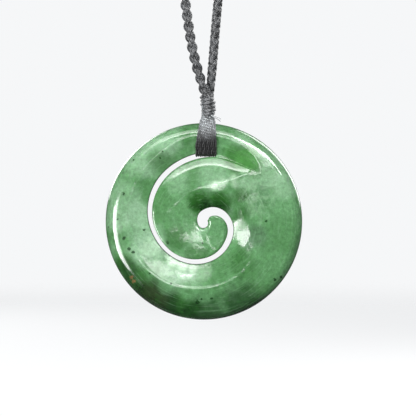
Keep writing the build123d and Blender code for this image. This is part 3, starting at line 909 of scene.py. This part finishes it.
def fleck(side, up, reach):
    """1 inside a small ragged spot, right through the stone."""
    return 1 - (distance(face_on, side, up, reach) + (ragged - 0.5) * RAGGED).smooth(*SPECK_FADE)


# Patches of this stone's clouds, and of painted light and shade: the darker ones above the hook, in the scoops
# and the groove and along the bottom are painted shade; most pale and the milky ones are painted highlights
# and reflections;
# the glow ones paint light coming through the thin groove. Sideways, up, reach in millimetres, colour and
# strength
PATCHES_AND_PAINTED_LIGHT = [
    (-13, 15.5, 8.5, PALE, 0.65), (-18.5, 6, 6, PALE, 0.4), (-2.5, 20.2, 4.5, DEEP, 0.35),
    (15, 12, 6, PALE, 0.5), (-12.5, -6, 6.5, PALE, 0.95), (-15, 1.5, 4.5, PALE, 0.8),
    (-5.5, -12.6, 6.5, PALE, 0.85), (2, 10.5, 5.5, PALE, 0.45), (-6, 9, 4.5, PALE, 0.4),
    (2.4, 8, 2.4, REFLECTION_WHITE, 0.9), (4.4, 8.9, 2.2, REFLECTION_WHITE, 0.35), (6.8, 9.7, 2.2, REFLECTION_WHITE, 0.75),
    (7.2, 8.2, 1.9, REFLECTION_WHITE, 0.95), (9.5, 7.9, 3.5, PALE, 0.4), (13, 5, 4.5, SLATE, 0.4),
    (18, -3, 6, MIDDLE, 0.7), (16, -10.5, 5.5, LIGHT, 0.6), (-20, 1, 4.5, PALE, 0.5),
    (-16.5, -2, 3.2, PALE, 0.4), (18.4, 8, 4.2, PALE, 0.55), (-9.5, 13.8, 4.5, DEEP, 0.68),
    (-8.2, 17.2, 3.6, PALE, 0.55), (8.4, 17.5, 3.8, PALE, 0.55), (7.5, 14.6, 4.5, DEEP, 0.8),
    (11.5, 12, 3, DEEP, 0.6), (6.5, 15.6, 3.4, GLOW, 0.3), (9.8, 13.9, 4.2, GLOW, 0.6),
    (8.4, 5.9, 3.4, DEEP, 0.9), (-1.2, 4.2, 4.1, DEEP, 1), (3.5, 4.6, 4.2, DEEP, 1),
    (-2, 3.8, 2.4, DARK, 0.45), (0.6, 3.7, 2.8, DARK, 0.9), (3.3, 3.5, 2.7, DARK, 0.8),
    (5, 2.6, 2.2, DARK, 0.5), (-6.5, -4, 4, DEEP, 0.65), (-2, -8.2, 4, DEEP, 0.6), (9, 2.2, 3, DEEP, 0.6),
    (8.5, -9.5, 5, DEEP, 0.6), (-4.5, -18.5, 5.5, DEEP, 0.9), (0.5, -20, 6.5, DARK, 0.7),
    (9, -18.5, 7, DARK, 0.75), (-15.4, -13, 4, DEEP, 0.8), (-18, -9.8, 3.2, DEEP, 0.8),
    (11.7, -3.4, 4.2, SLATE, 0.6), (8.6, 5.6, 2.2, DARK, 0.55), (-17.4, -10.6, 3.2, DARK, 0.6),
    (-6.1, -1.9, 2.6, DEEP, 0.6), (-0.6, -12.5, 3.2, LIGHT, 0.6), (-12.4, -6.5, 3.4, REFLECTION_WHITE, 0.4),
    (-10.5, -19.3, 8, DARK, 0.85), (-12.3, -17.6, 6.2, OLIVE, 0.7), (-16.4, -14.6, 3.8, DARK, 0.55),
    (-3.6, -15.4, 3.8, LIGHT, 0.75), (0.6, -16, 3.4, LIGHT, 0.65), (-8.4, -14.4, 3.2, LIGHT, 0.6),
    (8.6, 9, 1.7, REFLECTION_WHITE, 0.6), (-7.2, -8.9, 2.3, REFLECTION_WHITE, 1), (-4.8, -10, 2.1, REFLECTION_WHITE, 1),
    (-2.5, -10.7, 1.9, REFLECTION_WHITE, 0.8),
]
# Dark specks that this stone shows, and its rusty stain: sideways, up and radius in millimetres
SPECKS = [
    (-18.1, -3.8, 0.4), (-16.9, -6.3, 0.42), (-16.2, -7, 0.35), (-1.4, -18.4, 0.45), (1.8, -17.5, 0.28),
    (-18.3, 6.3, 0.32), (-19.7, 0.5, 0.25), (-13.7, -2, 0.28), (-16, 14, 0.25), (-10, 14.5, 0.22),
    (-9.4, 15.9, 0.22), (14.2, 0.1, 0.3), (-8.2, -4.9, 0.35), (-0.7, 2.8, 0.28), (-7.5, -14.1, 0.25),
    (-12.3, -11.8, 0.22), (16.3, -13.2, 0.4), (17.6, -12.7, 0.3),
]
RUST_FLECKS = [(-16.5, -12.8, 0.45), (-16, -13.6, 0.5)]
# Roughness: its least, how far noise and a duller spot raise it, and the spot: sideways, up, reach in mm
POLISH, POLISH_DRIFT, DULLER = 0.05, 0.14, 0.22
DULL_SPOT = (8.8, -0.9, 2.3)
# Where the small wheel left the polish uneven: sideways, up and reach in millimetres, and how much
UNEVEN = [(8.6, -2.6, 5, 1), (-1.5, -3.2, 4.5, 0.7), (-7, -10.5, 6.5, 0.4), (2, 8.4, 2.5, 0.8)]
# Streaks of the polish: waves to the metre outwards, and in one radian round
STREAKS_OUT, STREAKS_ROUND = 2800.0, 3.5


def polish_streaks():
    """Fine marks of the wheel, long round the middle: noise of the distance out and of the direction."""
    lift = wire.node("CombineXYZ", {"Y": wire.vector("LENGTH", {0: face_on}, 1) * STREAKS_OUT})
    way = wire.vector("NORMALIZE", {0: face_on})
    ring = wire.vector("SCALE", {0: way, "Scale": STREAKS_ROUND})
    return wire.noise(wire.vector("ADD", {0: ring, 1: lift}), 1.0)


def stone_colour():
    """Clouds, then the patches of colour, painted shade and painted highlights, its veins, its specks and one
    rusty stain, all grained by noise.
    """
    line = noise(240, 4, 0.62, 0.52, 1.5) - 0.5
    smear = 1 - line.maths("ABSOLUTE", line).smooth(0.01, 0.13)
    cells = wire.node("TexVoronoi", {"Vector": place, "Scale": 230.0})
    chosen = wire.node("SeparateColor", {"Color": cells.beside(1)})
    specks = (1 - cells.smooth(0.03, 0.08)) * chosen.smooth(0.62, 0.66)
    for speck in SPECKS:
        specks = specks.maths("MAXIMUM", specks, fleck(*speck))
    layers = [
        (noise(150, 4, 0.65, 0.21).smooth(0.48, 0.75) * 0.5, PALE),
        # The patches: the stone's clouds, and painted shade, highlights, reflections and glow
        *[(patch(side, up, reach) * amount, shade) for side, up, reach, shade, amount in PATCHES_AND_PAINTED_LIGHT],
        (fibres.smooth(0.5, 0.75) * 0.30, DEEP),
        # The wheel's marks painted pale: partly real marks, partly painted streaks of reflection
        (streaks.smooth(0.52, 0.72) * 0.15, PALE),
        (smear * patch(12.4, 6.2, 6.4, 0.9) * 0.5, VEIN),
        (specks * 0.85, DARK),
        *[(fleck(*stain) * 0.85, RUST) for stain in RUST_FLECKS],
    ]
    colour = clouds.smooth(0.34, 0.66).mix(MIDDLE, LIGHT)
    for amount, shade in layers:
        colour = amount.mix(colour, shade)
    return wire.vector("SCALE", {0: colour, "Scale": noise(1300, 5, 0.75, 0.77) * 1.5 + 0.25})


edge_cloud = noise(210, 3, 0.6, 0.3)
ragged = noise(1500, 2, 0.5, 0.8)
clouds = noise(75, 4, 0.55, 0.0, 0.6)
fibres = noise(420, 3, 0.6, 0.11)
streaks = polish_streaks()
plug(jade_shader, "Base Color", stone_colour())
dull = patch(*DULL_SPOT) * DULLER
plug(jade_shader, "Roughness", POLISH + noise(900, 3, 0.6, 0.4) * POLISH_DRIFT + dull)
skin = noise(330, 2, 0.5, 0.5) + noise(1000, 2, 0.5, 0.6) * 0.35
skin = skin + noise(3000, 2, 0.5, 0.7) * 0.08 + streaks * 0.05
uneven_polish = noise(700, 2, 0.5, 0.9, 0.4)
for side, up, reach, amount in UNEVEN:
    skin = skin + uneven_polish * patch(side, up, reach, 0.3) * amount
plug(jade_shader, "Normal", wire.node("Bump", {"Height": skin, "Distance": 0.06 * MM, "Strength": 0.6}))

SHARP_ANGLE = 60
disc = make_piece(
    "jade_koru", stone_points, [stone_quads, stone_triangles], jade, stands_for=["koru_disc"]
)
disc.data.set_sharp_from_angle(angle=math.radians(SHARP_ANGLE))
# %% [markdown]
# ## The sling
# The sling is a flat band of ten two-ply cords, side by side, that goes down over the front of the ring, back
# through the slot and up behind. Neighbouring cords are twisted opposite ways, so their plies meet in V
# shapes like knitting. The band's middle line follows the ring's own section.
# %% Sling
SLING_FOOT_SIDE, SLING_TOP_SIDE, SLING_NECK_DEPTH = 0.50, 0.83, 1.35
# Where the band's width changes, up from the stone's middle, and its half widths there
SLING_UP = (17.5, binding_foot - 0.6, binding_foot + 0.6)
SLING_HALF = (2.425, 1.8, 1.35)
SLING_OFF, BACK_OFF = 0.47, 0.38
CORDS, PLIES = 10, 2
# Half a ply's thickness and width, how far it winds out and sideways, and the half band that its width fits
PLY_OUT, PLY_SIDE, PLY_ROUND, PLY_SWAY, PLY_HALF = 0.19, 0.15, 0.13, 0.104, 2.3
PLY_STEP, PLY_SIDES, LINE_STEPS = 0.14, 8, 400
# Length of a ply's turn, long behind and at the foot, and short in front from the second height on
LONG_PITCH, SHORT_PITCH, PITCH_UP = 4.5, 1.5, (18.5, 21.5)
BAND_OUT, BAND_INSIDE, BAND_SIDES = 0.16, 0.15, 12
SLING_TURN = 90.0

(wall_share,) = follow(OUTER_WALL, SLING_TURN)
slot_up = spiral(SLING_TURN, wall_share)[1]
crest_up = spiral(SLING_TURN, follow(OUTER_SCOOP, SLING_TURN)[1])[1]


def ring_front(up):
    """Height of the ring's front under the sling."""
    places = np.array([SLING_FOOT_SIDE, up])
    return float(front_height(places, *turn_and_share(places, SLING_TURN)))


edge_front, edge_back = ring_front(slot_up + 0.4), float(-face_height(BACK, slot_up))
over_back = [stone_radius - inside for inside in (4.5, 3, 1.5)]
# The band's line: forward and up from the stone's middle
sling_corners = np.array([
    (SLING_NECK_DEPTH, binding_top - 1.5),
    (SLING_NECK_DEPTH, binding_foot + 0.6),
    (1.72, binding_foot - 0.5),
    (ring_front(crest_up) + SLING_OFF, crest_up + 0.4),
    (edge_front + SLING_OFF, slot_up + 0.5),
    (edge_front + 0.1, slot_up - SLING_OFF),
    (0.0, slot_up - SLING_OFF),
    (edge_back + 0.1, slot_up - SLING_OFF),
    (edge_back - BACK_OFF, slot_up + 0.7),
    *[(float(-face_height(BACK, up)) - BACK_OFF, up) for up in over_back],
    (-2.15, stone_radius - 0.2),
    (-1.60, binding_foot - 0.1),
    (-SLING_NECK_DEPTH, binding_foot + 0.6),
    (-SLING_NECK_DEPTH, binding_top - 1.5),
])
corner_run = along_line(sling_corners)
fine_run = np.linspace(0, corner_run[-1], LINE_STEPS)
forward, up = follow(np.column_stack([corner_run, sling_corners]), fine_run)
sling_line, sling_run = even_steps(together(0, -forward, up), PLY_STEP)
sling_out = np.cross([1.0, 0, 0], unit(np.gradient(sling_line, axis=0)))
height = sling_line[:, 2]
middle_side = np.interp(height, SLING_UP[:2], (SLING_FOOT_SIDE, SLING_TOP_SIDE))
half_width = np.interp(height, SLING_UP, SLING_HALF)
pitch = np.interp(height, PITCH_UP, (LONG_PITCH, SHORT_PITCH))
pitch = np.where(sling_line[:, 1] < 0, pitch, LONG_PITCH)
twist = math.tau * np.concatenate([[0], np.cumsum(np.diff(sling_run) / pitch[1:])])
sling_line = sling_line + [0, 0, stone_middle]
plies = []
for cord in range(CORDS):
    across = (2 * (cord + 0.5) / CORDS - 1) * half_width + middle_side
    angle = twist if cord % 2 else math.pi / 2 - twist
    for ply in range(PLIES):
        lean = angle + ply * math.pi
        line = sling_line + sling_out * (PLY_ROUND * np.cos(lean))[:, None]
        line[:, 0] += PLY_SWAY * np.sin(lean) + across
        plies.append(line)
band = sling_line + np.outer(middle_side, [1, 0, 0])
make_threads(
    "woven_sling", sling_finish, "sling_thread", ["sling"],
    strands(plies, sling_out, PLY_OUT, PLY_SIDE * half_width / PLY_HALF, PLY_SIDES),
    strands(band, sling_out, BAND_OUT, half_width - BAND_INSIDE, BAND_SIDES),
)
# %% [markdown]
# ## The whipping
# A whipping is one long thread wound tightly round the bundle. The pull has pressed the thread flat, and its
# turns are a little uneven, as they are when laid by hand.
# %% Whipping and its loose end
WHIP_TURNS, WHIP_THREAD, WHIP_BAND = 5.7, 0.28, 0.76
WHIP_SIDE = [(0, 0.84), (1.2, 1.02), (5.5, 0.59)]
WHIP_HALF = [(0, 1.20), (0.9, 1.45), (1.8, 1.62), (5.5, 1.64)]
WHIP_DEPTH, WHIP_DRIFT = 2.3, 0.05
TUCK_TURN, TUCK_IN, TUCK_THIN = 1.2, 0.35, 0.2
CORE_FOOT, CORE_HEAD = 0.6, 0.9
WHIP_STEPS, WHIP_DRAWS, WHIP_SIDES, WHIP_SINK, WHIP_SEED = 48, 24, 14, 1.3, 5

whip_foot = binding_foot + stone_middle
rise = binding_top - binding_foot
wind = np.linspace(0, math.tau * WHIP_TURNS, int(WHIP_STEPS * WHIP_TURNS))
draws = np.random.default_rng(WHIP_SEED).normal(0, 1, (3, WHIP_DRAWS))
knots = np.linspace(0, wind[-1], WHIP_DRAWS)
drift_up, drift_half, drift_side = (WHIP_DRIFT * np.interp(wind, knots, draw) for draw in draws)
up = WHIP_BAND / 2 + (rise - WHIP_BAND) / WHIP_TURNS * wind / math.tau + drift_up
tuck = tucked(wind, TUCK_TURN)
half = follow(WHIP_HALF, up)[0] - WHIP_THREAD + drift_half - TUCK_IN * (1 - tuck)
depth = WHIP_DEPTH - WHIP_THREAD - TUCK_IN * (1 - tuck)
middle = follow(WHIP_SIDE, up)[0] + drift_side
whip_out = unit(together(np.cos(wind) / half, np.sin(wind) / depth, 0))
whip_line = together(middle + half * np.cos(wind), depth * np.sin(wind), up + whip_foot)
thin = TUCK_THIN + (1 - TUCK_THIN) * tuck
core_up = np.linspace(CORE_FOOT, rise - CORE_HEAD, WHIP_DRAWS)
core_line = together(follow(WHIP_SIDE, core_up)[0], 0, core_up + whip_foot)
sink = WHIP_SINK * WHIP_THREAD
make_threads(
    "bound_whipping", whip_finish, "whipping_thread", ["whipping"],
    strands(whip_line, whip_out, WHIP_THREAD * thin, WHIP_BAND / 2 * thin, WHIP_SIDES),
    strands(core_line, [1.0, 0, 0], follow(WHIP_HALF, core_up)[0] - sink, WHIP_DEPTH - sink, CORE_SIDES),
)

# The loose end: sideways, forward, and up from the whipping's foot, and how far its second thread strays
END_ROUTE = [(1.55, 1.9, 0.9), (2.1, 2.2, 0.35), (2.75, 2.3, 0.0), (3.35, 2.3, -0.35), (3.75, 2.25, -0.75)]
END_STRAY, END_THREADS = [0.1, -0.1, 0.55], (0.08, 0.06)
side, forward, up = follow(np.column_stack([np.arange(5), END_ROUTE]), np.linspace(0, 4, WHIP_DRAWS))
end = together(side, -forward, up + whip_foot)
stray = np.outer(np.linspace(0, 1, len(end)), END_STRAY)
make_threads(
    "loose_end", frayed_finish, "whipping_thread", (),
    *[
        strands(end + number * stray, [0, -1.0, 0], thread, thread, THREAD_SIDES)
        for number, thread in enumerate(END_THREADS)
    ],
)
# %% [markdown]
# ## Floor and light
# The world is pale paper where the camera looks past the piece and dim for everything else, which keeps the
# lamps' reflections crisp. The floor fades out into it, and only the camera sees it.
# %% Stage
# In metres: how far the floor is under the piece, where it starts to fade, and its reach
FLOOR_DROP, FLOOR_FADE, FLOOR_REACH, FLOOR_SIDES = 0.03, 0.35, 1.2, 96
AROUND, PAPER = (0.10, 0.105, 0.11, 1), (0.92, 0.93, 0.94, 1)
world = bpy.data.worlds.new("studio")
bpy.context.scene.world = world
world.use_nodes = True
seen = Wire(world.node_tree).node("LightPath")
plug(world.node_tree.nodes["Background"], "Color", seen.mix(AROUND, PAPER))
# Each lamp: its direction from the stone, how far away it is, its width and height in millimetres, its power
LAMPS = {
    "ceiling": ((-0.15, -0.63, 0.76), 500, (400, 240), 1.35),
    "top_strip": ((-0.05, -0.78, 0.62), 450, (260, 60), 0.40),
    "left_window": ((-0.70, -0.70, -0.12), 350, (100, 150), 1.0),
    "left_front": ((-0.513, -0.854, -0.087), 700, (184, 320), 2.4),
    "upper_right": ((0.43, -0.743, 0.513), 350, (180, 90), 1.0),
    "behind_right": ((0.60, 0.616, 0.507), 350, (150, 300), 0.9),
    "behind_left": ((-0.45, 0.82, 0.35), 700, (320, 320), 2.0),
    "front_right": ((0.230, -0.925, 0.303), 900, (220, 150), 0.80),
    "front_top": ((-0.01, -0.945, 0.326), 900, (140, 200), 0.28),
    "ridge_glint": ((0.01, -0.951, 0.309), 900, (70, 50), 0.22),
    "near_axis": ((0.005, -0.99, 0.12), 900, (120, 130), 0.43),
}
for name, (way, away, (width, height), power) in LAMPS.items():
    lamp = bpy.data.lights.new(name, "AREA")
    lamp.shape, lamp.size, lamp.size_y, lamp.energy = "RECTANGLE", width * MM, height * MM, power
    holder = add_object(name, lamp)
    direction = Vector(way).normalized()
    holder.location = direction * away * MM + Vector((0, 0, stone_middle * MM))
    holder.rotation_euler = direction.to_track_quat("Z", "Y").to_euler()
    holder.visible_camera = False

paper_finish, paper_shader, paper_wire = new_material(
    "paper", Roughness=0.9, Base_Color=(0.16, 0.16, 0.16, 1), Emission_Color=PAPER, Emission_Strength=0.82
)
far_off = paper_wire.vector("LENGTH", {0: paper_wire.node("TexCoord", give=3)}, 1)
plug(paper_shader, "Alpha", 1 - far_off.smooth(FLOOR_FADE, FLOOR_REACH))
floor_turn = np.linspace(0, math.tau, FLOOR_SIDES, endpoint=False)
floor_points = together(np.cos(floor_turn), np.sin(floor_turn), 0) * FLOOR_REACH
floor_mesh = bpy.data.meshes.new("floor")
floor_mesh.from_pydata(floor_points.tolist(), [], [list(range(len(floor_points)))])
floor_mesh.materials.append(paper_finish)
floor = add_object("floor", floor_mesh)
floor.location.z = cad_box[0][2] - FLOOR_DROP
floor.visible_glossy = floor.visible_diffuse = floor.visible_transmission = floor.visible_shadow = False
print("stage is set")
